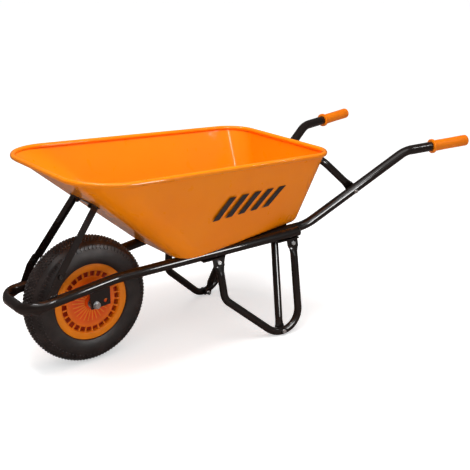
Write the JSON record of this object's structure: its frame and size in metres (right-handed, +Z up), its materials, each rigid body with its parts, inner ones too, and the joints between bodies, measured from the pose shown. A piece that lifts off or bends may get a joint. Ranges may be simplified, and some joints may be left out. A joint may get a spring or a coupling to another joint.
{
  "type": "wheelbarrow",
  "caption": "Builder's wheelbarrow with a pressed steel tray, tubular frame, bent tube legs, plastic-centred pneumatic wheel and moulded grips.",
  "frame": {"origin": "bottom centre of the whole wheelbarrow: on the ground, midway between the nose bar and the grip ends", "axes": "+Z up, +X from the wheel towards the handles; nodes named left lie at -Y and nodes named right at +Y"},
  "size_m": [1.5984, 0.653, 0.634],
  "materials": {
    "orange_paint": "gloss",
    "orange_rim_plastic": "semi-gloss",
    "orange_grip_plastic": "satin",
    "tyre_rubber": "matt",
    "black_rubber": "matt",
    "black_plastic": "satin",
    "valve_brass": "satin",
    "bearing_steel": "ground",
    "zinc_steel": "bright zinc",
    "black_frame_paint": "gloss"
  },
  "bodies": {
    "frame": {"axle_bolt": "zinc_steel", "axle_bracket_left": "black_frame_paint", "axle_bracket_right": "black_frame_paint", "axle_nut": "zinc_steel", "axle_spacers": "bearing_steel", "axle_washers": "zinc_steel", "bearing_inner_races": "bearing_steel", "bearing_sleeve": "bearing_steel", "brace_foot_bolts": "zinc_steel", "brace_foot_nuts": "zinc_steel", "crosspiece_bolts": "zinc_steel", "crosspiece_nuts": "zinc_steel", "front_cross_bar": "black_frame_paint", "front_loop": "black_frame_paint", "front_stay_left": "black_frame_paint", "front_stay_right": "black_frame_paint", "grip_left": "orange_grip_plastic", "grip_right": "orange_grip_plastic", "handle_front_plugs": "black_plastic", "handle_tube_left": "black_frame_paint", "handle_tube_right": "black_frame_paint", "hoop_bolts": "zinc_steel", "hoop_nuts": "zinc_steel", "leg_bolts": "zinc_steel", "leg_brace_left": "black_frame_paint", "leg_brace_right": "black_frame_paint", "leg_brackets_left": "black_frame_paint", "leg_brackets_right": "black_frame_paint", "leg_left": "black_frame_paint", "leg_nuts": "zinc_steel", "leg_right": "black_frame_paint", "rail_end_plugs": "black_plastic", "rear_cross_bar": "black_frame_paint", "rear_hoop": "black_frame_paint", "stay_bolts": "zinc_steel", "stay_bracket_left": "black_frame_paint", "stay_bracket_right": "black_frame_paint", "stay_crosspiece": "black_frame_paint", "stay_nuts": "zinc_steel", "tray": "orange_paint", "tray_front_bolts": "zinc_steel", "tray_front_nuts": "zinc_steel", "tray_middle_bolts": "zinc_steel", "tray_middle_nuts": "zinc_steel", "tray_rear_bolts": "zinc_steel", "tray_rear_nuts": "zinc_steel"},
    "wheel": {"bearing_balls": "bearing_steel", "bearing_outer_races": "bearing_steel", "inner_tube": "black_rubber", "tyre": "tyre_rubber", "valve_cap": "black_rubber", "valve_stem": "valve_brass", "wheel_rim": "orange_rim_plastic"}
  },
  "joints": [
    {"name": "wheel_spin", "type": "hinge", "parent": "frame", "child": "wheel", "pos_m": [-0.55217, 0, 0.2], "axis": [0, 1, 0], "continuous": true}
  ]
}
